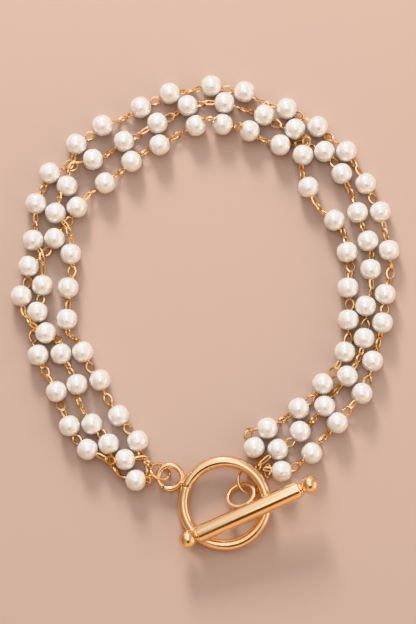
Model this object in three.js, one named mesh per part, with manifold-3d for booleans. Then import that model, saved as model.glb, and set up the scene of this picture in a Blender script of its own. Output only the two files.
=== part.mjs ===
// A three-strand bracelet of round pearls on wire links, closed by a ring-and-bar toggle clasp.
// Millimetres, +Z up. The bracelet lies on its side on a table at z = 0, clasp towards -Y.

import * as THREE from 'three';
import { mergeVertices } from 'three/addons/utils/BufferGeometryUtils.js';
import Module from 'manifold-3d';

const wasm = await Module();
wasm.setup();

// ---- Driving dimensions ----

const GAP = 0.3; // clearance kept between neighbouring solids

// Pearls are lathed about their thread. The middle band has a flat facet underneath to lie on.
const PEARL_RADIUS = 1.84; // to the corners, so that the faceted pearl is as large as a 3.5 mm ball
const PEARL_SIDES = 8;
const PEARL_BANDS = [42, 72, 108, 138]; // degrees from the drill hole to each ring of corners
const PEARL_REST = PEARL_RADIUS * Math.sin(rad(72)) * Math.cos(Math.PI / PEARL_SIDES);

// The wire eyes and links between two pearls are one plain rod along the thread.
const LINK_RADIUS = 0.4;
const PEARLS_PER_STRETCH = 2;

// Pearl centres of each strand in plan, from the toggle ring's end round to the toggle bar's end.
const STRANDS = {
  outer: [
    [-13.3, -24.4], [-19.5, -22.7], [-22.5, -18.8], [-24.7, -13.1], [-27.8, -7.0],
    [-28.0, 0.2], [-27.2, 4.7], [-28.8, 12.3], [-28.4, 18.5], [-26.1, 23.7],
    [-21.7, 28.6], [-17.3, 31.8], [-10.9, 34.9], [-6.0, 37.3], [1.0, 38.6],
    [6.6, 37.6], [13.7, 34.7], [18.9, 31.6], [23.7, 27.4], [26.9, 21.9],
    [29.3, 17.1], [30.7, 10.6], [30.0, 3.2], [29.5, -1.6], [27.8, -8.0],
    [26.0, -13.4], [21.9, -18.3], [17.6, -23.3], [12.6, -26.3],
  ],
  middle: [
    [-11.2, -21.3], [-14.4, -17.1], [-17.5, -11.2], [-20.4, -6.5], [-23.1, -1.0],
    [-22.9, 4.3], [-22.5, 10.0], [-25.1, 16.9], [-23.2, 21.5], [-18.9, 26.0],
    [-13.7, 29.1], [-8.1, 32.2], [-3.0, 35.2], [3.2, 35.7], [9.9, 33.6],
    [15.1, 31.2], [16.4, 26.8], [17.3, 21.3], [21.6, 15.7], [23.7, 10.3],
    [23.8, 4.3], [23.8, -1.1], [23.2, -6.5], [19.5, -11.8], [15.5, -15.9],
    [10.3, -19.2], [8.1, -22.4],
  ],
  inner: [
    [-11.5, -27.8], [-16.0, -21.8], [-18.8, -18.5], [-21.3, -11.9], [-24.0, -6.8],
    [-26.6, -3.3], [-30.7, 2.9], [-29.5, 7.9], [-25.2, 12.6], [-21.5, 17.9],
    [-16.8, 22.0], [-12.4, 25.7], [-7.7, 28.5], [-1.6, 31.8], [2.9, 32.0],
    [7.4, 30.9], [12.6, 28.5], [20.0, 27.4], [22.9, 23.6], [25.5, 17.0],
    [27.2, 12.2], [27.6, 7.4], [26.7, 1.2], [26.4, -4.2], [23.6, -10.5],
    [19.8, -15.5], [15.7, -19.7], [12.0, -22.7],
  ],
};

// Links that don't run straight: where strands cross, or where a slack link is folded aside.
// after: the pearl before the link, counted from 1. x, y, z: where the middle of the link lies.
const BENT_LINKS = [
  { strand: 'outer', after: 1, x: -15.9, y: -24.2, z: 2.7 },
  { strand: 'outer', after: 5, x: -29.8, y: -2.9, z: 0.6 },
  { strand: 'outer', after: 7, x: -27.2, y: 9.1, z: 2.6 },
  { strand: 'middle', after: 7, x: -22.4, y: 13.9, z: 2.6 },
  { strand: 'middle', after: 16, x: 17.0, y: 29.1, z: 2.1 },
  { strand: 'middle', after: 26, x: 7.1, y: -19.8, z: 1.6 },
  { strand: 'inner', after: 1, x: -16.4, y: -26.0, z: 0.6 },
  { strand: 'inner', after: 5, x: -24.6, y: -4.4, z: 1.6 },
  { strand: 'inner', after: 6, x: -30.2, y: -1.9, z: 3.0 },
  { strand: 'inner', after: 8, x: -27.6, y: 10.1, z: 0.6 },
  { strand: 'inner', after: 9, x: -23.2, y: 15.0, z: 0.5 },
  { strand: 'inner', after: 17, x: 16.1, y: 29.2, z: 0.5 },
  { strand: 'inner', after: 24, x: 25.7, y: -7.7, z: 1.6 },
];

// Where each strand's first and last rods stop, just short of the jump rings.
const STRAND_ENDS = {
  outer: { start: [-9.6, -25.5, 1.5], end: [10.1, -26.8, 0.7] },
  middle: { start: [-8.7, -24.6, 1.0], end: [8.3, -25.3, 0.7] },
  inner: { start: [-9.5, -26.8, 1.9], end: [9.4, -25.9, 0.7] },
};

// Toggle ring: it lies on the table at one side, and its far side is propped on the right jump ring.
const RING_RADIUS = 6.875; // to the middle of the tube
const RING_TUBE = 0.95;
const RING_CENTRE = [3.2, -31.6, 1.7];
const RING_TILT = 6.2;
const RING_RISES_TOWARDS = 52; // degrees in plan from +X

// Small fixed ring, soldered to the rim of the toggle ring.
const FIXED_RADIUS = 1.94;
const FIXED_WIRE = 0.475;
const FIXED_OFFSET = 10.05; // between the two rings' centres
const FIXED_DIRECTION = 154.4; // degrees in plan from +X
const SOLDER_RADIUS = 0.6;

// Toggle bar, drawn along its axis between the centres of its two balls.
const BAR_LEFT_BALL = [-2.86, -37.61, 3.5];
const BAR_RIGHT_BALL = [17.11, -28.77, 5.63];
const BALL_RADIUS = 1.5;
const NECK_RADIUS = 0.75;
const COLLAR_RADIUS = 1.1;
const COLLAR_LENGTH = 0.4;
const BODY_RADIUS = 1.45;
const BODY_START = 1.85; // from each ball's centre to the end face of the body
const BODY_CHAMFER = 0.12;
const BAR_SIDES = 14;

// Eye of the bar: a short length of tube, soldered to the middle of the bar and drooping.
const EYE_OUTER = 2.55;
const EYE_INNER = 2.05;
const EYE_HALF_WIDTH = 0.48;
const EYE_OFFSET = 3.82; // from the bar's axis to the eye's centre
const EYE_DROOP = 38;
const EYE_ALONG = 0.49; // of the way from the left ball to the right one

// Jump rings: centre, centreline radius, wire radius, and the way that each leans.
const JUMP_RINGS = [
  { name: 'left_jump_ring', centre: [-7.44, -26.33, 1.39], radius: 1.62, wire: 0.225, lean: 38, towards: 65 },
  { name: 'right_jump_ring', centre: [7.56, -27.95, 1.1], radius: 2.26, wire: 0.21, lean: 23, towards: 35 },
];

// ---- Helpers ----

function rad(degrees) {
  return (degrees * Math.PI) / 180;
}

function vec(values) {
  return new THREE.Vector3(...values);
}

// Turns a shape from its own axis to a direction, and carries it to a centre.
function placed(geometry, ownAxis, direction, centre) {
  const turn = new THREE.Quaternion().setFromUnitVectors(ownAxis, direction.clone().normalize());
  return geometry.applyQuaternion(turn).translate(...centre);
}

// The normal of a plane that leans down towards a direction in plan.
function leaning(angle, towards) {
  const across = Math.sin(rad(angle));
  return new THREE.Vector3(
    across * Math.cos(rad(towards)),
    across * Math.sin(rad(towards)),
    Math.cos(rad(angle)),
  );
}

// A closed surface with its shared corners merged.
function welded(geometry) {
  geometry.deleteAttribute('normal');
  geometry.deleteAttribute('uv');
  return mergeVertices(geometry, 1e-4);
}

function solid(geometry) {
  const shared = welded(geometry);
  return new wasm.Manifold(new wasm.Mesh({
    numProp: 3,
    vertProperties: Float32Array.from(shared.attributes.position.array),
    triVerts: Uint32Array.from(shared.index.array),
  }));
}

function joined(...geometries) {
  const [first, ...others] = geometries.map(solid);
  const mesh = others.reduce((whole, piece) => whole.add(piece), first).getMesh();
  const geometry = new THREE.BufferGeometry();
  geometry.setAttribute('position', new THREE.BufferAttribute(mesh.vertProperties, 3));
  geometry.setIndex(new THREE.BufferAttribute(mesh.triVerts, 1));
  return geometry;
}

// ---- Strands ----

// The point halfway along each link of a strand, with the strand's two ends added.
function linkMiddles(name, pearls) {
  const { start, end } = STRAND_ENDS[name];
  const middles = pearls.slice(1).map((pearl, index) => {
    const bent = BENT_LINKS.find((row) => row.strand === name && row.after === index + 1);
    return bent ? vec([bent.x, bent.y, bent.z]) : pearl.clone().lerp(pearls[index], 0.5);
  });
  return [vec(start), ...middles, vec(end)];
}

// One ring of corners across the thread: where it lies, which way the thread runs, and its radius.
function station(centre, along, radius) {
  const tangent = along.clone().normalize();
  const side = tangent.clone().cross(new THREE.Vector3(0, 0, 1)).normalize();
  const up = side.clone().cross(tangent);
  return { frame: new THREE.Matrix4().makeBasis(side, tangent, up).setPosition(centre), radius };
}

// The rings of corners over one pearl, from one drill hole to the other.
function pearlStations(centre, along) {
  const hole = (Math.asin(LINK_RADIUS / PEARL_RADIUS) * 180) / Math.PI;
  const tangent = along.clone().normalize();
  return [hole, ...PEARL_BANDS, 180 - hole].map((angle) => {
    const place = centre.clone().addScaledVector(tangent, -PEARL_RADIUS * Math.cos(rad(angle)));
    return station(place, tangent, PEARL_RADIUS * Math.sin(rad(angle)));
  });
}

// A lathed surface whose rings of corners are carried to their stations along the thread.
function threaded(stations) {
  const profile = stations.map(({ radius }, index) => new THREE.Vector2(radius, index));
  const geometry = new THREE.LatheGeometry(profile, PEARL_SIDES, Math.PI / PEARL_SIDES);
  const corners = geometry.attributes.position;
  const corner = new THREE.Vector3();
  for (let index = 0; index < corners.count; index += 1) {
    corner.fromBufferAttribute(corners, index).setY(0);
    corner.applyMatrix4(stations[index % stations.length].frame);
    corners.setXYZ(index, corner.x, corner.y, corner.z);
  }
  return welded(geometry);
}

// The angle by which the link after a pearl bends at its middle.
function bend(pearls, middles, index) {
  const before = middles[index + 1].clone().sub(pearls[index]);
  const after = pearls[index + 1].clone().sub(middles[index + 1]);
  return before.angleTo(after);
}

// How far two stretches stop short of the middle of the link between them.
function setback(pearls, middles, index) {
  if (index < 0 || index > pearls.length - 2) return 0;
  return GAP / 2 + LINK_RADIUS * Math.tan(bend(pearls, middles, index) / 2);
}

// Pearls first to last of a strand as one solid, with half of the link before and after them.
function stretch(pearls, middles, first, last) {
  const stations = [];
  const rod = (centre, along) => stations.push(station(centre, along, LINK_RADIUS));
  const cap = (centre, along) => stations.push(station(centre, along, 0));

  const enter = pearls[first].clone().sub(middles[first]).normalize();
  const entry = middles[first].clone().addScaledVector(enter, setback(pearls, middles, first - 1));
  cap(entry, enter);
  rod(entry, enter);
  for (let index = first; index <= last; index += 1) {
    const along = middles[index + 1].clone().sub(middles[index]).setZ(0);
    stations.push(...pearlStations(pearls[index], along));
    const onward = pearls[last].clone().sub(pearls[index]);
    if (index < last && bend(pearls, middles, index) > 0.01) rod(middles[index + 1], onward);
  }
  const leave = middles[last + 1].clone().sub(pearls[last]).normalize();
  const exit = middles[last + 1].clone().addScaledVector(leave, -setback(pearls, middles, last));
  rod(exit, leave);
  cap(exit, leave);
  return threaded(stations);
}

// ---- Clasp ----

function toggleRing() {
  const up = new THREE.Vector3(0, 0, 1);
  const normal = leaning(RING_TILT, RING_RISES_TOWARDS + 180);
  const centre = vec(RING_CENTRE);
  const outward = new THREE.Vector3(Math.cos(rad(FIXED_DIRECTION)), Math.sin(rad(FIXED_DIRECTION)), 0);
  outward.projectOnPlane(normal).normalize();
  const fixedCentre = centre.clone().addScaledVector(outward, FIXED_OFFSET);
  const joint = centre.clone().addScaledVector(outward, RING_RADIUS + RING_TUBE);

  const ring = placed(new THREE.TorusGeometry(RING_RADIUS, RING_TUBE, 10, 32), up, normal, centre);
  const fixed = placed(new THREE.TorusGeometry(FIXED_RADIUS, FIXED_WIRE, 8, 16), up, normal, fixedCentre);
  const solder = new THREE.IcosahedronGeometry(SOLDER_RADIUS, 1).translate(...joint);
  return joined(ring, fixed, solder);
}

// Half of the bar's outline, from the tip of a ball to the body: radius and distance from the ball.
function barEnd() {
  const neckStart = Math.sqrt(BALL_RADIUS ** 2 - NECK_RADIUS ** 2);
  const points = [];
  for (const angle of [0, 30, 60, 90, 120]) {
    points.push([BALL_RADIUS * Math.sin(rad(angle)), -BALL_RADIUS * Math.cos(rad(angle))]);
  }
  points.push([NECK_RADIUS, neckStart]);
  points.push([NECK_RADIUS, BODY_START - COLLAR_LENGTH]);
  points.push([COLLAR_RADIUS, BODY_START - COLLAR_LENGTH]);
  points.push([COLLAR_RADIUS, BODY_START]);
  points.push([BODY_RADIUS - BODY_CHAMFER, BODY_START]);
  points.push([BODY_RADIUS, BODY_START + BODY_CHAMFER]);
  return points;
}

function toggleBar() {
  const left = vec(BAR_LEFT_BALL);
  const right = vec(BAR_RIGHT_BALL);
  const along = right.clone().sub(left);
  const length = along.length();
  along.normalize();

  const half = barEnd();
  const mirrored = half.map(([radius, distance]) => [radius, length - distance]).reverse();
  const profile = [...half, ...mirrored].map((point) => new THREE.Vector2(...point));
  const axisY = new THREE.Vector3(0, 1, 0);
  const bar = placed(new THREE.LatheGeometry(profile, BAR_SIDES), axisY, along, left);

  // The eye leaves the bar sideways and droops below the level of the bar's axis.
  const sideways = new THREE.Vector3(0, 0, 1).cross(along).normalize();
  const outward = sideways.applyAxisAngle(along, rad(-EYE_DROOP));
  const centre = left.clone().addScaledVector(along, EYE_ALONG * length);
  centre.addScaledVector(outward, EYE_OFFSET);
  const section = [
    [EYE_INNER, -EYE_HALF_WIDTH],
    [EYE_OUTER, -EYE_HALF_WIDTH],
    [EYE_OUTER, EYE_HALF_WIDTH],
    [EYE_INNER, EYE_HALF_WIDTH],
    [EYE_INNER, -EYE_HALF_WIDTH],
  ].map((point) => new THREE.Vector2(...point));
  const eye = placed(new THREE.LatheGeometry(section, 24), axisY, along.clone().cross(outward), centre);
  return joined(bar, eye);
}

function jumpRing({ centre, radius, wire, lean, towards }) {
  const torus = new THREE.TorusGeometry(radius, wire, 6, 20);
  return welded(placed(torus, new THREE.Vector3(0, 0, 1), leaning(lean, towards), centre));
}

// ---- Assembly ----

const PEARL_FINISH = { color: 0xf3ebe0, roughness: 0.25, metalness: 0 };
const GOLD_FINISH = { color: 0xe0b078, roughness: 0.2, metalness: 1 };

function named(name, geometry, finish) {
  const mesh = new THREE.Mesh(geometry, new THREE.MeshStandardMaterial(finish));
  mesh.name = name;
  return mesh;
}

function strand(name) {
  const group = new THREE.Group();
  const pearls = STRANDS[name].map(([x, y]) => new THREE.Vector3(x, y, PEARL_REST));
  const middles = linkMiddles(name, pearls);
  for (let first = 0; first < pearls.length; first += PEARLS_PER_STRETCH) {
    const last = Math.min(first + PEARLS_PER_STRETCH, pearls.length) - 1;
    const number = String(first / PEARLS_PER_STRETCH + 1).padStart(2, '0');
    group.add(named(`${name}_pearls_${number}`, stretch(pearls, middles, first, last), PEARL_FINISH));
  }
  return group;
}

const group = new THREE.Group();
for (const name of Object.keys(STRANDS)) group.add(strand(name));
group.add(named('toggle_ring', toggleRing(), GOLD_FINISH));
group.add(named('toggle_bar', toggleBar(), GOLD_FINISH));
for (const ring of JUMP_RINGS) group.add(named(ring.name, jumpRing(ring), GOLD_FINISH));

export default group;
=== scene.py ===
"""A three-strand bracelet of round pearls on wire links, closed by a ring-and-bar toggle clasp.

Every piece is a surface worked out with numpy: a profile turned about an axis, or a section
carried round a loop. Sizes are in millimetres and become metres when a mesh is made.
The bracelet lies on its side on the floor at z = 0, with the clasp towards -Y.
"""

import math

import bpy
import numpy as np
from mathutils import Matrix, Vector


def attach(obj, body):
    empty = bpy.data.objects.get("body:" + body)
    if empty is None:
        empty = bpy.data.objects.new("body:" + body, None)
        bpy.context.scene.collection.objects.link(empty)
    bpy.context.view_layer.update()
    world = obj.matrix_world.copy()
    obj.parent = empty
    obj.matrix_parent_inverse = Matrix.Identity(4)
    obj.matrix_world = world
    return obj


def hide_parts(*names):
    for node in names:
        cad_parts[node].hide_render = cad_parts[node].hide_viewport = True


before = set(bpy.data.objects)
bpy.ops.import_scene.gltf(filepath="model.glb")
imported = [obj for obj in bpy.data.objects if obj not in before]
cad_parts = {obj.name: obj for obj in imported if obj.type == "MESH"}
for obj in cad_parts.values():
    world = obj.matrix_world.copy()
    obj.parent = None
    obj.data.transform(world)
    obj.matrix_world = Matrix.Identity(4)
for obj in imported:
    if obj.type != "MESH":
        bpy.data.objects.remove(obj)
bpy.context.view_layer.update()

MM = 0.001
UP = np.array([0.0, 0.0, 1.0])
SHARP_EDGE = math.radians(35.0)  # surfaces that meet more steeply keep a crisp edge

# ---- Strands, as in the part's source ----

# Pearl centres in plan, from the toggle ring's end round to the toggle bar's end.
STRANDS = {
    "outer": [
        (-13.3, -24.4), (-19.5, -22.7), (-22.5, -18.8), (-24.7, -13.1), (-27.8, -7.0),
        (-28.0, 0.2), (-27.2, 4.7), (-28.8, 12.3), (-28.4, 18.5), (-26.1, 23.7),
        (-21.7, 28.6), (-17.3, 31.8), (-10.9, 34.9), (-6.0, 37.3), (1.0, 38.6),
        (6.6, 37.6), (13.7, 34.7), (18.9, 31.6), (23.7, 27.4), (26.9, 21.9),
        (29.3, 17.1), (30.7, 10.6), (30.0, 3.2), (29.5, -1.6), (27.8, -8.0),
        (26.0, -13.4), (21.9, -18.3), (17.6, -23.3), (12.6, -26.3),
    ],
    "middle": [
        (-11.2, -21.3), (-14.4, -17.1), (-17.5, -11.2), (-20.4, -6.5), (-23.1, -1.0),
        (-22.9, 4.3), (-22.5, 10.0), (-25.1, 16.9), (-23.2, 21.5), (-18.9, 26.0),
        (-13.7, 29.1), (-8.1, 32.2), (-3.0, 35.2), (3.2, 35.7), (9.9, 33.6),
        (15.1, 31.2), (16.4, 26.8), (17.3, 21.3), (21.6, 15.7), (23.7, 10.3),
        (23.8, 4.3), (23.8, -1.1), (23.2, -6.5), (19.5, -11.8), (15.5, -15.9),
        (10.3, -19.2), (8.1, -22.4),
    ],
    "inner": [
        (-11.5, -27.8), (-16.0, -21.8), (-18.8, -18.5), (-21.3, -11.9), (-24.0, -6.8),
        (-26.6, -3.3), (-30.7, 2.9), (-29.5, 7.9), (-25.2, 12.6), (-21.5, 17.9),
        (-16.8, 22.0), (-12.4, 25.7), (-7.7, 28.5), (-1.6, 31.8), (2.9, 32.0),
        (7.4, 30.9), (12.6, 28.5), (20.0, 27.4), (22.9, 23.6), (25.5, 17.0),
        (27.2, 12.2), (27.6, 7.4), (26.7, 1.2), (26.4, -4.2), (23.6, -10.5),
        (19.8, -15.5), (15.7, -19.7), (12.0, -22.7),
    ],
}

# Links that don't run straight. after: the pearl before the link, counted from 1.
# x, y, z: where the middle of the link lies. turn: degrees in plan from the line between pearls.
# rise: how steeply it climbs towards the next pearl.
BENT_LINKS = [
    {"strand": "outer", "after": 1, "x": -15.7, "y": -24.5, "z": 2.2, "turn": 0.0, "rise": -35.0},
    {"strand": "outer", "after": 5, "x": -28.7, "y": -3.7, "z": 0.5, "turn": 0.0, "rise": 0.0},
    {"strand": "outer", "after": 7, "x": -27.2, "y": 9.1, "z": 2.6, "turn": 0.0, "rise": 0.0},
    {"strand": "outer", "after": 10, "x": -22.9, "y": 25.3, "z": 0.8, "turn": 0.0, "rise": 0.0},
    {"strand": "outer", "after": 22, "x": 31.0, "y": 6.9, "z": 0.6, "turn": 0.0, "rise": 0.0},
    {"strand": "middle", "after": 4, "x": -22.1, "y": -3.95, "z": 0.9, "turn": 25.0, "rise": 0.0},
    {"strand": "middle", "after": 7, "x": -22.7, "y": 13.5, "z": 2.6, "turn": 0.0, "rise": 0.0},
    {"strand": "middle", "after": 8, "x": -24.5, "y": 19.3, "z": 2.1, "turn": 0.0, "rise": 30.0},
    {"strand": "middle", "after": 9, "x": -22.2, "y": 24.7, "z": 2.1, "turn": 0.0, "rise": 0.0},
    {"strand": "middle", "after": 16, "x": 17.0, "y": 29.1, "z": 2.2, "turn": 0.0, "rise": -50.0},
    {"strand": "middle", "after": 17, "x": 16.3, "y": 23.5, "z": 0.8, "turn": 0.0, "rise": 0.0},
    {"strand": "middle", "after": 26, "x": 7.2, "y": -20.4, "z": 0.65, "turn": 35.0, "rise": -12.0},
    {"strand": "inner", "after": 1, "x": -14.7, "y": -26.2, "z": 0.9, "turn": 0.0, "rise": 0.0},
    {"strand": "inner", "after": 5, "x": -24.6, "y": -4.4, "z": 1.3, "turn": 0.0, "rise": -49.0},
    {"strand": "inner", "after": 6, "x": -29.6, "y": -1.0, "z": 2.7, "turn": 0.0, "rise": 0.0},
    {"strand": "inner", "after": 8, "x": -26.6, "y": 10.6, "z": 0.6, "turn": 0.0, "rise": 0.0},
    {"strand": "inner", "after": 9, "x": -23.0, "y": 15.6, "z": 0.5, "turn": 0.0, "rise": 0.0},
    {"strand": "inner", "after": 14, "x": 0.65, "y": 32.7, "z": 3.0, "turn": 0.0, "rise": 0.0},
    {"strand": "inner", "after": 15, "x": 5.5, "y": 31.65, "z": 2.25, "turn": 0.0, "rise": 52.0},
    {"strand": "inner", "after": 17, "x": 16.1, "y": 28.85, "z": 0.5, "turn": 0.0, "rise": 0.0},
    {"strand": "inner", "after": 24, "x": 25.5, "y": -7.6, "z": 1.6, "turn": 0.0, "rise": 0.0},
]

# How far the wires of each gap lie to the left of the line between its pearls, gap by gap. It
# is 0 where the link is bent, because its row above says where it lies.
WIRE_SWAY = {
    "outer": (
        0.0, 0.4, 0.15, 0.2, 0.0, 0.0, 0.0, -0.2, 0.0, 0.0, 0.0, -0.3, 0.1, 0.0,
        0.0, -0.4, 0.2, 0.0, 0.1, 0.1, 0.1, 0.0, 0.2, 0.2, 0.25, 0.0, -0.1, 0.5,
    ),
    "middle": (
        0.0, 0.3, 0.2, 0.0, -0.1, -0.35, 0.0, 0.0, 0.0, -0.35, -0.15, 0.0, 0.25,
        0.1, -0.3, 0.0, 0.0, -0.7, 0.7, 0.55, 0.35, 0.45, 0.35, 0.3, 0.1, 0.0,
    ),
    "inner": (
        0.0, -0.2, 0.65, -0.1, 0.0, 0.0, -0.35, 0.0, 0.0, 0.35, 0.0, 0.35, 0.2, 0.0,
        0.0, -0.2, 0.0, 0.4, 0.25, 0.1, 0.45, 0.6, 0.2, 0.0, 0.0, 0.25, 0.35,
    ),
}

# Where the eyes of each strand's first and last pearl point: at the end links on the jump rings.
STRAND_ENDS = {
    "outer": {"start": (-9.9, -24.1, 1.6), "end": (10.0, -25.95, 1.4)},
    "middle": {"start": (-10.7, -23.9, 1.3), "end": (8.6, -24.1, 0.5)},
    "inner": {"start": (-9.4, -27.7, 1.5), "end": (9.15, -25.05, 1.3)},
}

# How the wire lies in each gap of a strand: the eye of the pearl before it, the link, and the
# eye of the pearl after it. f lies flat, s slants and e stands on edge. h is an eye hidden
# below its pearl, where the link's end is tucked in.
WIRE_LIES = {
    "outer": (
        "hff hfh ffh ffh sff hfh fsf hsf hsh sff hfh sss hfh fef "
        "hfh ssf hfs hfe hsf hfh fsh sff hfh fsf efh ffh fse sfh"
    ),
    "middle": (
        "hfh sfe hfh fef hsf hfh fsf hsh efe hsf hsf hff hsf "
        "esf hff hfh fsh fsh hsf hff hfh sfh ffh ffh fse sfe"
    ),
    "inner": (
        "eef hfh ssh hsf hfh fef hfh sfh sfh feh seh hsh sss sss "
        "hfh hsh fff hfh fss hsh hsh feh sfh fsf fse ssf sfh"
    ),
}
LIE_ROLL = {"f": 8.0, "s": 60.0, "e": 74.0, "h": 8.0}  # degrees about the ring's own length

# ---- Driving dimensions ----

PEARL_RADIUS = 1.78
PEARL_LENGTH = 1.71  # half of the pearl along its thread
PEARL_FLATNESS = 2.2  # exponent of its outline: 2 is an ellipse and more has flatter ends
PEARL_SIDES = 32
PEARL_ROWS = 19
THREAD_SLOPE = 0.5  # how much of the slope towards its links a pearl and its eyes take up

# Drill hole in each end of a pearl, from its bottom out to its rim. depth: below the pearl's end.
DRILL_HOLE = [
    {"radius": 0.0, "depth": 0.14},
    {"radius": 0.16, "depth": 0.12},
    {"radius": 0.2, "depth": 0.03},
    {"radius": 0.27, "depth": 0.008},
]

LINK_LENGTH = 2.04  # between the middles of the wire at its two ends
LEAST_HALF_LENGTH = 0.9  # of a link as it is drawn, whatever its ends are
MOST_HALF_LENGTH = 1.1
LINK_HALF_WIDTH = 0.66
LINK_WIRE = 0.2
LINK_POINT = 1.65  # exponent of its outline: below 2 its ends are pointed
HOOK_REACH = 1.12  # from the pearl's surface to the end of a link pulled tight in its eye
TUCKED = 0.5  # how far a link's end reaches in below a pearl
LEAST_REACH = 0.35
MOST_TUCKED_REACH = 0.1  # of a link that is tucked in at both ends
EYE_TIP = 0.33  # from the link's end to the middle of the wire at the eye's tip
EYE_HALF_WIDTH = 0.30
EYE_WIRE = 0.185
EYE_ROUNDNESS = 2.4
EYE_DEPTH = 0.15  # how far an eye reaches into its pearl
HIDDEN_EYE = 25.0  # degrees below the pearl's equator
CLEARANCE = 0.03  # between a link and what it rests on
WIRE_STEPS = 16
WIRE_SIDES = 7

# Toggle ring: it lies on the floor at one side, with its far side propped up.
RING_RADIUS = 6.875  # to the middle of the tube
RING_TUBE = 0.95
RING_CENTRE = (3.2, -31.6, 1.7)
RING_TILT = 6.2
RING_RISES_TOWARDS = 52.0  # degrees in plan from +X
RING_SEAM = 157.0  # where the two ends of the tube butt together

# Half of the seam. off: degrees from its middle. size: of the tube there, against the rest of it.
SEAM_EDGE = [
    {"off": 0.45, "size": 0.4},
    {"off": 0.5, "size": 0.94},
    {"off": 0.65, "size": 0.985},
    {"off": 0.9, "size": 1.0},
]

# Small ring soldered to the rim of the toggle ring, with its ends left unsoldered.
FIXED_RADIUS = 1.94
FIXED_WIRE = 0.475
FIXED_OFFSET = 10.05
FIXED_DIRECTION = 154.4
FIXED_SPLIT = 239.0
FIXED_GAP = 0.1  # between its two ends
RING_SOLDER_ACROSS = 0.51  # radius of the bead of solder, across the line between the rings
RING_SOLDER_ALONG = 0.48

# Toggle bar, drawn along its axis between the centres of its two balls.
BAR_LEFT_BALL = (-2.86, -37.61, 3.5)
BAR_RIGHT_BALL = (17.11, -28.77, 5.63)
BALL_RADIUS = 1.5
NECK_RADIUS = 0.75
COLLAR_RADIUS = 1.1
COLLAR_LENGTH = 0.4
BODY_RADIUS = 1.45
BODY_START = 1.85
EDGE_RADIUS = 0.12

# Eye of the bar: a short length of tube, soldered to the middle of the bar and drooping.
EYE_OUTER = 2.58
EYE_INNER = 2.0
EYE_BAND = 0.48  # half of its width
EYE_OFFSET = 3.82
EYE_DROOP = 38.0
EYE_ALONG = 0.49
EYE_CORNER = 0.1  # radius of the band's edges
EYE_SOLDER_ACROSS = 0.3  # radius of the bead of solder, across the bar and along it
EYE_SOLDER_ALONG = 0.8

# Jump rings. split: where the wire's two ends meet, in degrees round the ring.
JUMP_RINGS = [
    {"node": "left_jump_ring", "centre": (-7.44, -26.33, 1.39), "radius": 1.62, "wire": 0.225,
     "lean": 38.0, "towards": 65.0, "split": -20.0},
    {"node": "right_jump_ring", "centre": (7.56, -27.95, 1.1), "radius": 2.26, "wire": 0.21,
     "lean": 23.0, "towards": 35.0, "split": 120.0},
]
JUMP_GAP = 0.12  # between the wire's two ends

# End of a cut wire. off: from the cut, as a part of the rounding. size: of the wire there.
ROUNDING = 0.3  # of the wire's radius
CUT_EDGE = [
    {"off": 0.0, "size": 0.72},
    {"off": 0.3, "size": 0.92},
]

# Links between the strands' end eyes and the jump rings. turn: degrees in plan of the link's
# length. rise: how steeply it climbs that way. roll: 0 lies flat and 90 stands on edge.
# half: half of the link's length.
END_LINKS = [
    {"x": -9.5, "y": -24.95, "z": 1.85, "turn": -30.0, "rise": 8.0, "roll": 64.0, "half": 0.95},
    {"x": -9.8, "y": -26.2, "z": 1.6, "turn": -86.0, "rise": 0.0, "roll": 80.0, "half": 0.85},
    {"x": -9.05, "y": -27.3, "z": 1.95, "turn": 16.0, "rise": 8.0, "roll": 66.0, "half": 0.75},
    {"x": -9.65, "y": -27.75, "z": 1.1, "turn": -8.0, "rise": 50.0, "roll": 10.0, "half": 0.95},
    {"x": 8.8, "y": -25.6, "z": 0.85, "turn": -105.0, "rise": 0.0, "roll": 60.0, "half": 0.95},
    {"x": 10.3, "y": -26.1, "z": 0.8, "turn": -95.0, "rise": 0.0, "roll": -30.0, "half": 1.1},
]


# ---- Shapes ----

def unit(vectors):
    """Vectors over their lengths, along the last axis of the array."""
    return vectors / np.linalg.norm(vectors, axis=-1, keepdims=True)


def grid_quads(rows, columns, close_rows, copies=1):
    """Corner numbers of the quads of grids whose points are numbered row by row, column by column.

    The columns always close on themselves. With close_rows the last row also joins the first.
    """
    row, column = np.meshgrid(
        np.arange(rows if close_rows else rows - 1), np.arange(columns), indexing="ij"
    )
    next_row = (row + 1) % rows
    next_column = (column + 1) % columns
    corners = [
        row * columns + column,
        row * columns + next_column,
        next_row * columns + next_column,
        next_row * columns + column,
    ]
    quads = np.stack(corners, axis=-1).reshape(-1, 4)
    shift = np.arange(copies)[:, None, None] * rows * columns
    return (quads[None] + shift).reshape(-1, 4)


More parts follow.
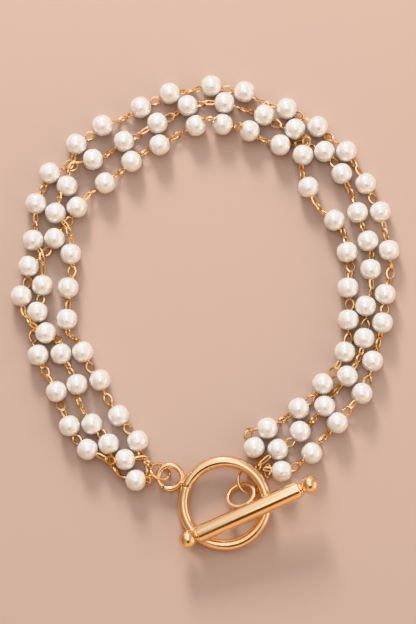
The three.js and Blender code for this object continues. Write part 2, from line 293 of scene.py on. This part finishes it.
def rings(centres, longs, flats, half_lengths, half_width, wire, exponent):
    """Many closed wire loops at once.

    Each loop is a superellipse, |x / a|^n + |y / b|^n = 1, with x along its long direction and y
    across it in the plane whose normal is its flat direction. A circle of the wire's radius is
    carried round it, square to the loop.
    """
    turn = np.linspace(0.0, 2.0 * np.pi, WIRE_STEPS, endpoint=False)
    power = 2.0 / exponent
    x = np.sign(np.cos(turn)) * np.abs(np.cos(turn)) ** power
    y = np.sign(np.sin(turn)) * np.abs(np.sin(turn)) ** power
    sizes = np.broadcast_arrays(half_lengths[:, None] * x, half_width * y)
    loop = np.stack(sizes, axis=-1)
    along = np.roll(loop, -1, axis=1) - np.roll(loop, 1, axis=1)
    outward = unit(np.stack([along[..., 1], -along[..., 0]], axis=-1))

    longs = unit(longs)
    flats = unit(flats - np.sum(flats * longs, axis=-1, keepdims=True) * longs)
    acrosses = np.cross(flats, longs)
    plane = np.stack([longs, acrosses], axis=1)
    middle = centres[:, None] + loop @ plane
    away = outward @ plane

    around = np.linspace(0.0, 2.0 * np.pi, WIRE_SIDES, endpoint=False)
    section = (
        np.cos(around)[:, None] * away[:, :, None]
        - np.sin(around)[:, None] * flats[:, None, None]
    )
    points = middle[:, :, None] + wire * section
    return points.reshape(-1, 3), grid_quads(WIRE_STEPS, WIRE_SIDES, True, len(centres))


def turned(profile, centres, axes, sides):
    """Surfaces of revolution, many at once.

    profile: rows of radius and height that start and end on the axis. Each row but those two
    becomes a circle about the axis, at its height along it, and the two ends become single points.
    """
    axes = unit(axes)
    guide = np.where(np.abs(axes[:, 2:]) > 0.9, np.array([[1.0, 0.0, 0.0]]), UP[None])
    side = unit(np.cross(guide, axes))
    other = np.cross(axes, side)

    angle = np.linspace(0.0, 2.0 * np.pi, sides, endpoint=False)
    spoke = (
        np.cos(angle)[None, :, None] * side[:, None] + np.sin(angle)[None, :, None] * other[:, None]
    )
    radius = profile[1:-1, 0][None, :, None, None]
    height = profile[1:-1, 1][None, :, None, None]
    body = centres[:, None, None] + radius * spoke[:, None] + height * axes[:, None, None]
    tips = centres[:, None] + profile[[0, -1], 1][None, :, None] * axes[:, None]

    count = len(centres)
    rows = len(profile) - 2
    quads = grid_quads(rows, sides, False, count)
    here = np.arange(sides)
    beyond = (here + 1) % sides
    first_row = np.arange(count)[:, None] * rows * sides
    last_row = first_row + (rows - 1) * sides
    tip = count * rows * sides + 2 * np.arange(count)[:, None]
    start = np.stack(np.broadcast_arrays(tip, first_row + beyond, first_row + here), axis=-1)
    end = np.stack(np.broadcast_arrays(tip + 1, last_row + here, last_row + beyond), axis=-1)
    points = np.concatenate([body.reshape(-1, 3), tips.reshape(-1, 3)])
    triangles = np.concatenate([start.reshape(-1, 3), end.reshape(-1, 3)])
    return points, quads, triangles


def circle(radius, sides):
    """A round section, as rows of distance outwards and distance up."""
    angle = np.linspace(0.0, 2.0 * np.pi, sides, endpoint=False)
    return radius * np.stack([np.cos(angle), -np.sin(angle)], axis=1)


def soft_box(half_width, half_height, corner):
    """A rectangle with rounded corners, as rows of distance outwards and distance up."""
    quarter = np.radians(np.linspace(0.0, 90.0, 4))
    angle = np.concatenate([quarter + start for start in np.radians([0.0, 90.0, 180.0, 270.0])])
    middle_x = np.repeat([1.0, -1.0, -1.0, 1.0], 4) * (half_width - corner)
    middle_y = np.repeat([1.0, 1.0, -1.0, -1.0], 4) * (half_height - corner)
    return np.stack(
        [middle_x + corner * np.cos(angle), -(middle_y + corner * np.sin(angle))], axis=1
    )


def hoop(centre, normal, radius, angles, section, scales, closed):
    """A section carried round a circle, and scaled by its own amount at each angle.

    The angles are measured in the plane of the hoop from +X. An open hoop has a flat end at its
    first and last angles.
    """
    normal = unit(np.array(normal))
    start = unit(np.array([1.0, 0.0, 0.0]) - normal[0] * normal)
    quarter = np.cross(normal, start)
    turn = np.radians(angles)[:, None]
    spoke = np.cos(turn) * start + np.sin(turn) * quarter
    middle = np.array(centre) + radius * spoke
    offset = scales[:, None, None] * (
        section[None, :, :1] * spoke[:, None] + section[None, :, 1:] * normal
    )
    points = (middle[:, None] + offset).reshape(-1, 3)
    sides = len(section)
    quads = grid_quads(len(angles), sides, closed)
    if closed:
        return points, quads
    here = np.arange(sides)
    beyond = (here + 1) % sides
    last = (len(angles) - 1) * sides
    tip = len(points)
    first_end = np.stack([np.full(sides, tip), beyond, here], axis=1)
    last_end = np.stack([np.full(sides, tip + 1), last + here, last + beyond], axis=1)
    points = np.concatenate([points, middle[[0, -1]]])
    return points, quads, first_end, last_end


def piece(name, parts, material, replaced):
    """One object from several (points, quads, triangles) parts, in metres, riding on the body."""
    points = []
    faces = []
    first = 0
    for part in parts:
        points.append(part[0])
        for corners in part[1:]:
            faces.extend((corners + first).tolist())
        first += len(part[0])
    mesh = bpy.data.meshes.new(name)
    mesh.from_pydata(np.concatenate(points) * MM, [], faces)
    mesh.shade_smooth()
    mesh.set_sharp_from_angle(angle=SHARP_EDGE)
    mesh.materials.append(material)
    made = bpy.data.objects.new(name, mesh)
    bpy.context.scene.collection.objects.link(made)
    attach(made, "root")
    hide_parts(*replaced)


# ---- Materials ----

# Most of a noise texture lies between these two values.
NOISE_LOW = 0.3
NOISE_HIGH = 0.7
POLISH_SPREAD = 0.03  # how far the gold's roughness goes up and down

def material_with_nodes(name):
    """A new material, its nodes, and the shader among them."""
    material = bpy.data.materials.new(name)
    material.use_nodes = True
    tree = material.node_tree
    return material, tree, tree.nodes["Principled BSDF"]


def noise(tree, scale, detail):
    """Noise on the object's own coordinates, so that it stays put on every piece."""
    place = tree.nodes.new("ShaderNodeTexCoord")
    texture = tree.nodes.new("ShaderNodeTexNoise")
    texture.inputs["Scale"].default_value = scale
    texture.inputs["Detail"].default_value = detail
    tree.links.new(place.outputs["Object"], texture.inputs["Vector"])
    return texture.outputs["Fac"]


def ramp(tree, value, stops):
    """Colours that change evenly with the value, between (value, colour) stops."""
    colours = tree.nodes.new("ShaderNodeValToRGB")
    elements = colours.color_ramp.elements
    for position, _ in stops[2:]:
        elements.new(position)
    for element, (position, colour) in zip(elements, stops):
        element.position = position
        element.color = (*colour, 1.0)
    tree.links.new(value, colours.inputs["Fac"])
    return colours.outputs["Color"]


def cloudy(tree, scale, detail, low, high):
    """A colour that wanders between two others over the surface."""
    return ramp(tree, noise(tree, scale, detail), [(NOISE_LOW, low), (NOISE_HIGH, high)])


def uneven_gloss(tree, shader, scale, low, high):
    """Roughness that changes gently over the surface, as polish and handling leave it."""
    spread = tree.nodes.new("ShaderNodeMapRange")
    spread.inputs["From Min"].default_value = NOISE_LOW
    spread.inputs["From Max"].default_value = NOISE_HIGH
    spread.inputs["To Min"].default_value = low
    spread.inputs["To Max"].default_value = high
    tree.links.new(noise(tree, scale, 3.0), spread.inputs["Value"])
    tree.links.new(spread.outputs["Result"], shader.inputs["Roughness"])


def bump(tree, shader, height, strength, distance):
    """Fine relief that follows a height, with its distance in metres."""
    node = tree.nodes.new("ShaderNodeBump")
    node.inputs["Strength"].default_value = strength
    node.inputs["Distance"].default_value = distance
    tree.links.new(height, node.inputs["Height"])
    tree.links.new(node.outputs["Normal"], shader.inputs["Normal"])


def pearl_material():
    """Warm white nacre: light soaks into it, and it has a bright gloss under a clear skin."""
    material, tree, shader = material_with_nodes("pearl_nacre")
    colour = cloudy(tree, 330.0, 2.0, (0.755, 0.735, 0.69), (0.815, 0.805, 0.785))
    tree.links.new(colour, shader.inputs["Base Color"])
    uneven_gloss(tree, shader, 600.0, 0.13, 0.19)
    shader.inputs["IOR"].default_value = 3.2
    shader.inputs["Coat Weight"].default_value = 1.0
    shader.inputs["Coat IOR"].default_value = 1.75
    shader.inputs["Coat Roughness"].default_value = 0.05
    shader.inputs["Subsurface Weight"].default_value = 0.8
    shader.inputs["Subsurface Radius"].default_value = (1.0, 0.8, 0.6)
    shader.inputs["Subsurface Scale"].default_value = 0.0015
    bump(tree, shader, noise(tree, 1000.0, 2.0), 0.13, 0.0003)
    return material


def gold_material(name, roughness, low, high):
    """Polished warm gold plating, with a faint unevenness of the polish."""
    material, tree, shader = material_with_nodes(name)
    tree.links.new(cloudy(tree, 260.0, 4.0, low, high), shader.inputs["Base Color"])
    shader.inputs["Metallic"].default_value = 1.0
    uneven_gloss(tree, shader, 400.0, roughness - POLISH_SPREAD, roughness + POLISH_SPREAD)
    bump(tree, shader, noise(tree, 2500.0, 3.0), 0.12, 0.0001)
    return material


PEARL = pearl_material()
GOLD = gold_material("polished_gold", 0.14, (0.94, 0.63, 0.36), (0.97, 0.69, 0.42))
# The wire gold's base colour is darker than the polished gold's. That is painted shade, for the wires
# that lie in shadow low between the pearls.
SHADED_WIRE_GOLD = gold_material("shaded_wire_gold", 0.22, (0.82, 0.52, 0.27), (0.91, 0.62, 0.34))


# ---- Strands ----

def strand_nodes(name):
    """The CAD nodes of one strand."""
    return sorted(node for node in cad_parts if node.startswith(name + "_pearls_"))


def hidden_ends(name):
    """Whether the first and the second end of each link of a strand is tucked in below a pearl."""
    return np.array([[lie[0] == "h", lie[2] == "h"] for lie in WIRE_LIES[name].split()])


def link_ends(name, pearls):
    """The two ends of every link of a strand.

    A link that is pulled tight is level with the pearls. A slack one hangs from its eyes, so its
    ends lie lower, or one is tucked in between a pearl and the floor.
    """
    lies = WIRE_LIES[name].split()
    hidden = hidden_ends(name)
    chords = pearls[1:] - pearls[:-1]
    gaps = np.linalg.norm(chords, axis=1) - 2.0 * PEARL_RADIUS
    chords = unit(chords)

    # How far each end is out from its pearl's surface. It is negative below the pearl.
    even = (gaps - LINK_LENGTH) / 2.0
    tight = np.minimum(HOOK_REACH, gaps + TUCKED - LINK_LENGTH)
    reach = np.maximum(even, LEAST_REACH)[:, None].repeat(2, axis=1)
    both = hidden.all(axis=1)
    one = hidden.any(axis=1) & ~both
    reach[both] = np.clip(even, -TUCKED, MOST_TUCKED_REACH)[both, None]
    reach[one] = np.where(hidden, (gaps - LINK_LENGTH - tight)[:, None], tight[:, None])[one]

    clear = PEARL_RADIUS + LINK_WIRE + CLEARANCE
    below = np.sqrt(np.clip(clear ** 2 - (PEARL_RADIUS + reach) ** 2, 0.0, None))
    slack = np.sqrt(np.clip(HOOK_REACH ** 2 - reach ** 2, 0.0, None))
    heights = np.maximum(PEARL_RADIUS - np.where(hidden, below, slack), LINK_WIRE + EYE_WIRE)
    sway = np.array(WIRE_SWAY[name])[:, None] * np.cross(UP, chords)
    starts = pearls[:-1] + chords * (PEARL_RADIUS + reach[:, :1]) + sway
    ends = pearls[1:] - chords * (PEARL_RADIUS + reach[:, 1:]) + sway

    # A link that leans rests on the floor with its lower side, so its middle is higher.
    rolls = np.radians([LIE_ROLL[lie[1]] for lie in lies])
    least = LINK_WIRE + LINK_HALF_WIDTH * np.sin(rolls) + CLEARANCE
    lift = np.clip(least - heights.mean(axis=1), 0.0, None)
    starts[:, 2] = heights[:, 0] + lift
    ends[:, 2] = heights[:, 1] + lift
    for row in BENT_LINKS:
        if row["strand"] == name:
            gap = row["after"] - 1
            middle = np.array([row["x"], row["y"], row["z"]])
            turn = math.radians(row["turn"])
            rise = math.radians(row["rise"])
            level = math.cos(turn) * chords[gap] + math.sin(turn) * np.cross(UP, chords[gap])
            along = math.cos(rise) * level + math.sin(rise) * UP
            starts[gap] = middle - along * LINK_LENGTH / 2.0
            ends[gap] = middle + along * LINK_LENGTH / 2.0
    return starts, ends


def eye_targets(name, pearls):
    """What each pearl's eyes hold: the link's end after the pearl and the one before it."""
    starts, ends = link_ends(name, pearls)
    outside = STRAND_ENDS[name]
    return np.vstack([starts, outside["end"]]), np.vstack([outside["start"], ends])


def pearl_profile():
    """A pearl's outline: |r / R|^n + |h / L|^n = 1, with a small drill hole in each end."""
    hole = np.array([(row["radius"], PEARL_LENGTH - row["depth"]) for row in DRILL_HOLE])
    angle = np.radians(np.linspace(10.0, 170.0, PEARL_ROWS))
    power = 2.0 / PEARL_FLATNESS
    radius = PEARL_RADIUS * np.sin(angle) ** power
    height = PEARL_LENGTH * np.sign(np.cos(angle)) * np.abs(np.cos(angle)) ** power
    ball = np.stack([radius, height], axis=1)
    other_hole = hole[::-1] * (1.0, -1.0)
    return np.concatenate([hole, ball, other_hole])[::-1]


def facing(longs, rolls):
    """The normal of each ring's plane: straight up, rolled about the ring's long direction."""
    side = unit(np.cross(longs, UP))
    above = np.cross(side, unit(longs))
    rolls = np.radians(rolls)[:, None]
    return np.cos(rolls) * above + np.sin(rolls) * side


def strand_wires(name, pearls, after, before):
    """The eyes and links of one strand, as two sets of rings.

    after and before: what each pearl's two eyes hold.
    """
    lies = WIRE_LIES[name].split()
    lean = np.where(np.arange(len(lies)) % 2 == 0, 1.0, -1.0)
    rolls = np.array([[LIE_ROLL[letter] for letter in lie] for lie in lies]) * lean[:, None]
    hidden = hidden_ends(name)

    # Eyes: two on each pearl, from the pearl to just past the link's end.
    held = np.concatenate([after, before])
    out_of = np.concatenate([pearls, pearls])
    under = np.concatenate([np.append(hidden[:, 0], False), np.insert(hidden[:, 1], 0, False)])
    sideways = held - out_of
    sideways[:, 2] = np.where(
        under, -np.linalg.norm(sideways[:, :2], axis=1) * math.tan(math.radians(HIDDEN_EYE)),
        sideways[:, 2] * THREAD_SLOPE,
    )
    roots = out_of + unit(sideways) * (PEARL_RADIUS - EYE_DEPTH)
    towards = unit(held - roots)
    tips = held + towards * EYE_TIP
    tips[:, 2] = np.maximum(tips[:, 2], EYE_WIRE)
    flat_end = [LIE_ROLL["f"]]
    eye_rolls = np.concatenate([rolls[:, 0], flat_end, flat_end, rolls[:, 2]])
    eyes = rings(
        (roots + tips) / 2.0, tips - roots, facing(tips - roots, eye_rolls),
        np.linalg.norm(tips - roots, axis=1) / 2.0, EYE_HALF_WIDTH, EYE_WIRE, EYE_ROUNDNESS,
    )

    # Links: each from the end in one eye to the end in the next.
    longs = before[1:] - after[:-1]
    half_lengths = np.linalg.norm(longs, axis=1) / 2.0
    links = rings(
        (before[1:] + after[:-1]) / 2.0, longs, facing(longs, rolls[:, 1]),
        np.clip(half_lengths, LEAST_HALF_LENGTH, MOST_HALF_LENGTH), LINK_HALF_WIDTH,
        LINK_WIRE, LINK_POINT,
    )
    return eyes, links


def strand(name):
    """One strand: its row of pearls, each turned about its own thread, and its wire links."""
    plan = np.array(STRANDS[name])
    pearls = np.column_stack([plan, np.full(len(plan), PEARL_RADIUS)])
    after, before = eye_targets(name, pearls)
    threads = (after - before) * (1.0, 1.0, THREAD_SLOPE)
    balls = turned(pearl_profile(), pearls, threads, PEARL_SIDES)
    nodes = strand_nodes(name)
    piece(name + "_pearl_row", [balls], PEARL, nodes)
    wires = strand_wires(name, pearls, after, before)
    piece(name + "_wire_links", wires, SHADED_WIRE_GOLD, nodes)


for strand_name in STRANDS:
    strand(strand_name)


# ---- Clasp ----

def in_plan(degrees):
    """A level direction, in degrees from +X."""
    return np.array([math.cos(math.radians(degrees)), math.sin(math.radians(degrees)), 0.0])


def leaning(angle, towards):
    """The normal of a plane that leans down towards a direction in plan."""
    return math.cos(math.radians(angle)) * UP + math.sin(math.radians(angle)) * in_plan(towards)


def split_hoop(centre, normal, radius, wire, split, gap):
    """A round wire bent to a ring whose two ends, slightly rounded, stop either side of a gap."""
    half_gap = math.degrees(gap / 2.0 / radius)
    rounding = math.degrees(wire * ROUNDING / radius)
    whole = 360.0 - 2.0 * half_gap
    edge = np.array([rounding * row["off"] for row in CUT_EDGE])
    sizes = np.array([row["size"] for row in CUT_EDGE])
    middle = np.linspace(rounding, whole - rounding, 72)
    angles = np.concatenate([edge, middle, whole - edge[::-1]]) + split + half_gap
    scales = np.concatenate([sizes, np.ones(len(middle)), sizes[::-1]])
    return hoop(centre, normal, radius, angles, circle(wire, 16), scales, False)


def blob(centre, along, across_radius, along_radius):
    """A bead of solder: an ellipsoid, with its own radius along one direction."""
    angle = np.linspace(0.0, np.pi, 13)
    profile = np.stack([across_radius * np.sin(angle), -along_radius * np.cos(angle)], axis=1)
    return turned(profile, np.array([centre]), np.array([along]), 20)


def toggle_ring():
    """A tube bent to a ring, with the small fixed ring and its bead of solder."""
    normal = leaning(RING_TILT, RING_RISES_TOWARDS + 180.0)
    centre = np.array(RING_CENTRE)
    outward = in_plan(FIXED_DIRECTION)
    outward = unit(outward - np.dot(outward, normal) * normal)

    # The two ends of the tube meet in a fine open seam.
    plain = np.linspace(0.0, 360.0, 160, endpoint=False)[1:-1]
    offs = np.array([row["off"] for row in SEAM_EDGE])
    sizes = np.array([row["size"] for row in SEAM_EDGE])
    angles = np.concatenate([-offs, offs, plain]) + RING_SEAM
    scales = np.concatenate([sizes, sizes, np.ones(len(plain))])
    order = np.argsort(angles % 360.0)
    tube = hoop(
        centre, normal, RING_RADIUS, (angles % 360.0)[order], circle(RING_TUBE, 36),
        scales[order], True,
    )
    fixed = split_hoop(
        centre + outward * FIXED_OFFSET, normal, FIXED_RADIUS, FIXED_WIRE, FIXED_SPLIT, FIXED_GAP
    )
    joint = centre + outward * (RING_RADIUS + RING_TUBE)
    solder = blob(joint, outward, RING_SOLDER_ACROSS, RING_SOLDER_ALONG)
    piece("toggle_ring_tube", [tube, fixed, solder], GOLD, ["toggle_ring"])


def arc(centre_radius, centre_height, radius, start, end, steps):
    """Rows of radius and height round an arc, from one angle to another, measured from -height."""
    angle = np.radians(np.linspace(start, end, steps))
    return np.stack(
        [centre_radius + radius * np.sin(angle), centre_height - radius * np.cos(angle)], axis=1
    )


def bar_end():
    """Half of the bar's outline: ball, neck, collar and the rounded edge of the body."""
    neck = math.degrees(math.asin(NECK_RADIUS / BALL_RADIUS))
    collar_start = BODY_START - COLLAR_LENGTH
    collar_edge = EDGE_RADIUS * 0.7
    return np.concatenate([
        arc(0.0, 0.0, BALL_RADIUS, 0.0, 180.0 - neck, 22),
        arc(COLLAR_RADIUS - collar_edge, collar_start + collar_edge, collar_edge, 0.0, 90.0, 4),
        arc(COLLAR_RADIUS - collar_edge, BODY_START - collar_edge, collar_edge, 90.0, 150.0, 3),
        arc(BODY_RADIUS - EDGE_RADIUS, BODY_START + EDGE_RADIUS, EDGE_RADIUS, 0.0, 90.0, 5),
    ])


def toggle_bar():
    """The bar, turned from the tip of one ball to the tip of the other, with its eye."""
    left = np.array(BAR_LEFT_BALL)
    right = np.array(BAR_RIGHT_BALL)
    length = np.linalg.norm(right - left)
    along = (right - left) / length
    half = bar_end()
    other_half = half[::-1] * (1.0, -1.0) + (0.0, length)
    outline = np.concatenate([half, other_half])
    bar = turned(outline, left[None], along[None], 64)

    # The eye leaves the bar sideways and droops below the level of the bar's axis.
    sideways = unit(np.cross(UP, along))
    droop = math.radians(EYE_DROOP)
    outward = math.cos(droop) * sideways - math.sin(droop) * np.cross(along, sideways)
    foot = left + along * EYE_ALONG * length
    angles = np.linspace(0.0, 360.0, 96, endpoint=False)
    section = soft_box((EYE_OUTER - EYE_INNER) / 2.0, EYE_BAND, EYE_CORNER)
    eye = hoop(
        foot + outward * EYE_OFFSET, np.cross(along, outward), (EYE_OUTER + EYE_INNER) / 2.0,
        angles, section, np.ones(len(angles)), True,
    )
    solder = blob(foot + outward * BODY_RADIUS, along, EYE_SOLDER_ACROSS, EYE_SOLDER_ALONG)
    piece("toggle_bar_turned", [bar, eye, solder], GOLD, ["toggle_bar"])


def jump_ring(row):
    """A round wire bent to a ring, with its two ends not quite closed."""
    ring = split_hoop(
        row["centre"], leaning(row["lean"], row["towards"]), row["radius"], row["wire"],
        row["split"], JUMP_GAP,
    )
    piece(row["node"] + "_wire", [ring], SHADED_WIRE_GOLD, [row["node"]])


def end_links():
    """The last links, between the strands' ends and the jump rings: four on the left, two right."""
    centres = np.array([(row["x"], row["y"], row["z"]) for row in END_LINKS])
    turn = np.radians([row["turn"] for row in END_LINKS])
    rise = np.radians([row["rise"] for row in END_LINKS])
    level = np.cos(rise)
    longs = np.stack([np.cos(turn) * level, np.sin(turn) * level, np.sin(rise)], axis=1)
    rolls = np.array([row["roll"] for row in END_LINKS])
    halves = np.array([row["half"] for row in END_LINKS])
    links = rings(
        centres, longs, facing(longs, rolls), halves, LINK_HALF_WIDTH, LINK_WIRE, LINK_POINT
    )
    piece("end_links", [links], SHADED_WIRE_GOLD, [])


toggle_ring()
toggle_bar()
for jump_row in JUMP_RINGS:
    jump_ring(jump_row)
end_links()


# ---- Stage ----

FLOOR_REACH = 3.0  # metres

# Lights. turn: where each stands, in degrees in plan from +X. elevation: how high, in degrees.
# distance, width and height are in metres.
LIGHTS = [
    {"name": "low_window", "turn": 101.0, "elevation": 26.0, "distance": 0.55,
     "width": 0.12, "height": 0.12, "power": 2.6, "colour": (1.0, 0.98, 0.95)},
    {"name": "tall_window", "turn": 95.0, "elevation": 56.0, "distance": 0.50,
     "width": 0.17, "height": 0.90, "power": 1.15, "colour": (0.86, 0.93, 1.0)},
    {"name": "side_window", "turn": -8.0, "elevation": 22.0, "distance": 0.50,
     "width": 0.50, "height": 0.25, "power": 0.8, "colour": (1.0, 0.94, 0.86)},
]

# The room's colour by height: level and below at 0, and straight up at 1.
ROOM_COLOURS = [
    (0.0, (1.12, 0.78, 0.58)),
    (0.35, (1.10, 0.88, 0.73)),
    (0.62, (1.02, 0.97, 0.93)),
    (0.93, (1.05, 1.06, 1.08)),
    (0.98, (1.75, 1.78, 1.85)),
]

# Places in the room with a colour of their own, each laid over those before it. towards: the
# direction of its middle. starts and full: the cosine of the angle from there at which it
# starts to show and covers all.
GLOWS = [
    {"place": "bright warm wall in front", "towards": (0.26, -0.966, 0.0),
     "starts": 0.35, "full": 0.97, "colour": (1.9, 1.28, 0.86)},
    {"place": "dim wall on the left", "towards": (-1.0, 0.0, 0.0),
     "starts": 0.25, "full": 0.85, "colour": (0.80, 0.49, 0.31)},
    {"place": "sky through the window behind", "towards": (-0.16, 0.86, 0.48),
     "starts": 0.78, "full": 0.97, "colour": (1.8, 1.9, 2.1)},
    {"place": "ceiling lit by the window", "towards": (-0.35, 0.43, 0.83),
     "starts": 0.88, "full": 0.985, "colour": (1.85, 1.9, 2.05)},
]
ROOM_STRENGTH = 0.58

# Dark patch on the ceiling, high in front. full and ends: how far its middle may be, from where
# it is darkest to where it has faded out.
DARK_PATCH = {"towards": (0.08, -0.53, 0.845), "full": 0.24, "ends": 0.40,
              "colour": (0.27, 0.155, 0.09)}

BLACK = (0.0, 0.0, 0.0)
WHITE = (1.0, 1.0, 1.0)


def floor():
    """A plain square of pale paper."""
    mesh = bpy.data.meshes.new("floor")
    corners = [(x * FLOOR_REACH, y * FLOOR_REACH, 0.0) for x, y in [(-1, -1), (1, -1), (1, 1), (-1, 1)]]
    mesh.from_pydata(corners, [], [(0, 1, 2, 3)])
    material, _, shader = material_with_nodes("floor_paper")
    shader.inputs["Base Color"].default_value = (0.52, 0.375, 0.305, 1.0)
    shader.inputs["Roughness"].default_value = 0.9
    mesh.materials.append(material)
    made = bpy.data.objects.new("floor", mesh)
    bpy.context.scene.collection.objects.link(made)


def soft_light(name, turn, elevation, distance, width, height, power, colour):
    """A rectangular area light that faces the middle of the bracelet."""
    data = bpy.data.lights.new(name, "AREA")
    data.shape = "RECTANGLE"
    data.size = width
    data.size_y = height
    data.energy = power
    data.color = colour
    light = bpy.data.objects.new(name, data)
    across = math.cos(math.radians(elevation)) * distance
    light.location = (
        across * math.cos(math.radians(turn)),
        across * math.sin(math.radians(turn)),
        distance * math.sin(math.radians(elevation)),
    )
    light.rotation_euler = light.location.to_track_quat("Z", "Y").to_euler()
    bpy.context.scene.collection.objects.link(light)


def mixed(tree, factor, colour, other):
    """One colour where the factor is 0 and another where it is 1."""
    mix = tree.nodes.new("ShaderNodeMix")
    mix.data_type = "RGBA"
    tree.links.new(factor, mix.inputs["Factor"])
    tree.links.new(colour, mix.inputs["A"])
    mix.inputs["B"].default_value = (*other, 1.0)
    return mix.outputs["Result"]


def compared(tree, direction, operation, towards):
    """The dot product of two directions, or the distance between their ends."""
    node = tree.nodes.new("ShaderNodeVectorMath")
    node.operation = operation
    node.inputs[1].default_value = towards
    tree.links.new(direction, node.inputs[0])
    return node.outputs["Value"]


def surroundings():
    """A room with a white ceiling and warm walls, for the gold and the pearls to reflect."""
    world = bpy.data.worlds.new("studio")
    world.use_nodes = True
    tree = world.node_tree
    direction = tree.nodes.new("ShaderNodeTexCoord").outputs["Generated"]
    split = tree.nodes.new("ShaderNodeSeparateXYZ")
    tree.links.new(direction, split.inputs["Vector"])
    room = ramp(tree, split.outputs["Z"], ROOM_COLOURS)
    for glow in GLOWS:
        nearness = compared(tree, direction, "DOT_PRODUCT", glow["towards"])
        share = ramp(tree, nearness, [(glow["starts"], BLACK), (glow["full"], WHITE)])
        room = mixed(tree, share, room, glow["colour"])
    away = compared(tree, direction, "DISTANCE", DARK_PATCH["towards"])
    share = ramp(tree, away, [(DARK_PATCH["full"], WHITE), (DARK_PATCH["ends"], BLACK)])
    room = mixed(tree, share, room, DARK_PATCH["colour"])
    tree.links.new(room, tree.nodes["Background"].inputs["Color"])
    tree.nodes["Background"].inputs["Strength"].default_value = ROOM_STRENGTH
    bpy.context.scene.world = world


def camera():
    """Looks steeply down at the bracelet from the clasp's side."""
    aim = Vector((0.45, 0.2, 1.75)) * MM
    elevation = math.radians(83.0)
    distance = 0.4
    data = bpy.data.cameras.new("camera")
    data.lens = 138.46
    data.sensor_width = 36.0
    data.sensor_fit = "AUTO"
    data.clip_start = 0.01
    made = bpy.data.objects.new("camera", data)
    made.location = aim + Vector((0.0, -math.cos(elevation), math.sin(elevation))) * distance
    made.rotation_euler = (math.radians(90.0) - elevation, 0.0, 0.0)
    bpy.context.scene.collection.objects.link(made)
    bpy.context.scene.camera = made


floor()
surroundings()
for light_row in LIGHTS:
    soft_light(**light_row)
camera()
bpy.context.scene.view_settings.view_transform = "Khronos PBR Neutral"
